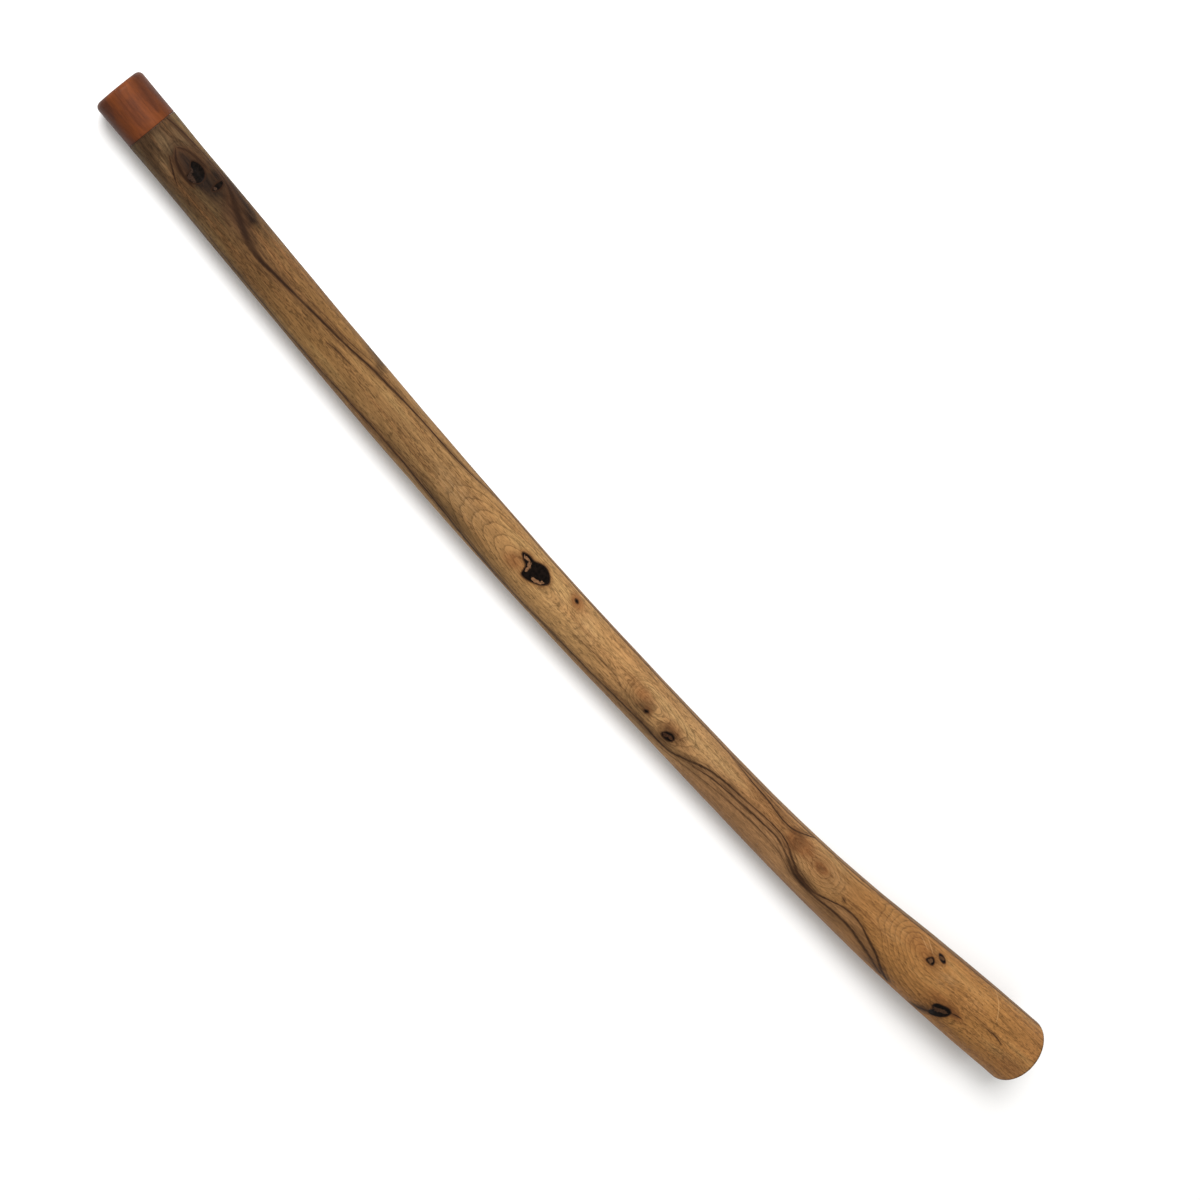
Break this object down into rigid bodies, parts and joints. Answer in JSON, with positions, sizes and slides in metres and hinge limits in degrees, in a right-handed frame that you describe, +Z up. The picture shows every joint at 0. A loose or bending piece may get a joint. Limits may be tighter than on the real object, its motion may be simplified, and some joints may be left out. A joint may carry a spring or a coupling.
{
  "type": "didgeridoo",
  "caption": "Bent wooden didgeridoo with a turned mouthpiece ring, glued half shells, a flared bell and resin-filled knots.",
  "frame": {"origin": "under the middle of the bounding box, on the floor that the tube lies on", "axes": "+X from the mouthpiece to the bell, parallel to the straight upper tube; +Y the side that the bell bends towards; +Z up, away from the floor"},
  "size_m": [1.4056, 0.1498, 0.0811],
  "materials": {
    "branch_wood": "satin",
    "mouthpiece_wood": "satin",
    "resin": "gloss",
    "glue": "matt"
  },
  "bodies": {
    "root": {"mouthpiece_ring": "mouthpiece_wood", "mouthpiece_glue": "glue", "front_shell": "branch_wood", "back_shell": "branch_wood", "left_seam_glue": "glue", "right_seam_glue": "glue", "heart_inlay": "resin", "neck_knot_inlay": "resin", "crescent_inlay": "resin", "pin_knot_inlay": "resin", "dot_knot_inlay": "resin", "eye_knot_inlay": "resin", "triangle_knot_inlay": "resin", "oval_knot_inlay": "resin", "bell_knot_inlay": "resin"}
  },
  "joints": []
}
